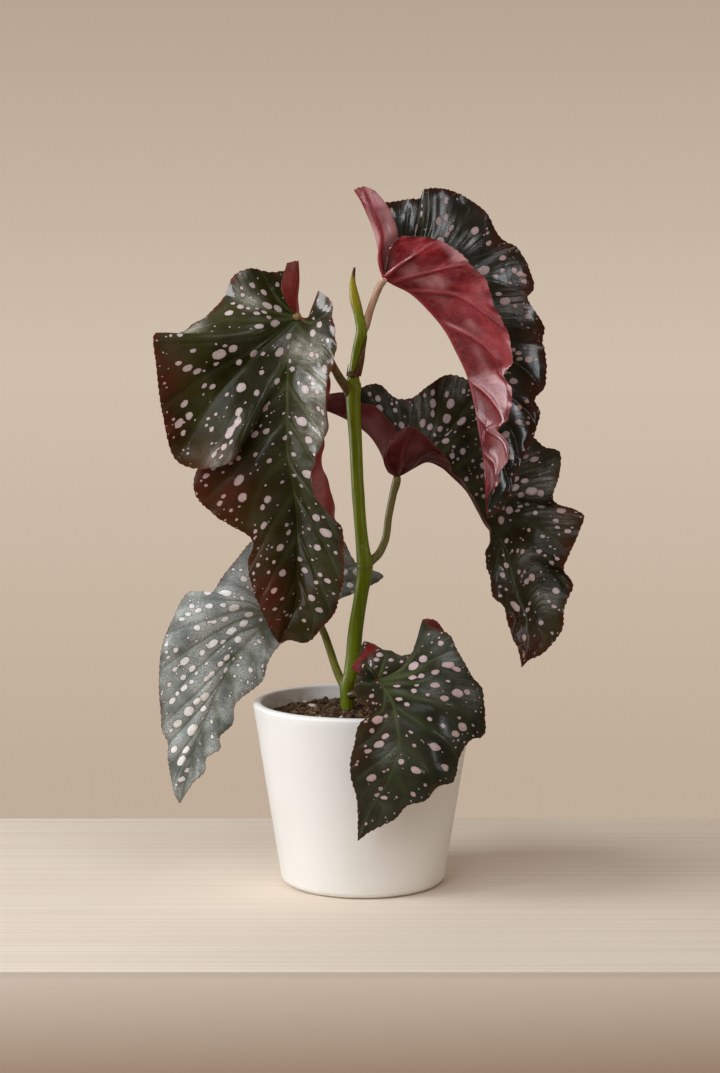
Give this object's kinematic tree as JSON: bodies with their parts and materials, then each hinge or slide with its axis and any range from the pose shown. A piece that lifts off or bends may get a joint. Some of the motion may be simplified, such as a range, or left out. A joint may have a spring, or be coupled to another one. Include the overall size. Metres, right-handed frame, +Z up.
{
  "type": "potted begonia",
  "caption": "Spotted begonia with an upright green cane, curved stalks and large toothed wing-shaped leaves, growing from soil in a plain white tapered pot.",
  "frame": {"origin": "centre of the pot's flat base", "axes": "+Z up along the pot's axis, -Y towards the viewer of the picture, +X to the picture's right"},
  "size_m": [0.2524, 0.1515, 0.4086],
  "materials": {
    "pot_white": "satin",
    "soil_peat": "matte",
    "stem_green": "satin",
    "sheath_brown": "matte",
    "petiole_olive": "satin",
    "leaf_upper_left": "satin",
    "leaf_upper_right": "satin",
    "leaf_mid_right": "satin",
    "leaf_lower_left": "satin",
    "leaf_lower_right": "satin"
  },
  "bodies": {
    "root": {"pot": "pot_white", "soil": "soil_peat", "stem": "stem_green", "sheath": "sheath_brown", "petiole_upper_left": "petiole_olive", "petiole_upper_right": "petiole_olive", "petiole_mid_right": "petiole_olive", "petiole_lower_left": "petiole_olive", "petiole_lower_right": "petiole_olive", "leaf_upper_left": "leaf_upper_left", "leaf_upper_right": "leaf_upper_right", "leaf_mid_right": "leaf_mid_right", "leaf_lower_left": "leaf_lower_left", "leaf_lower_right": "leaf_lower_right"}
  },
  "joints": []
}
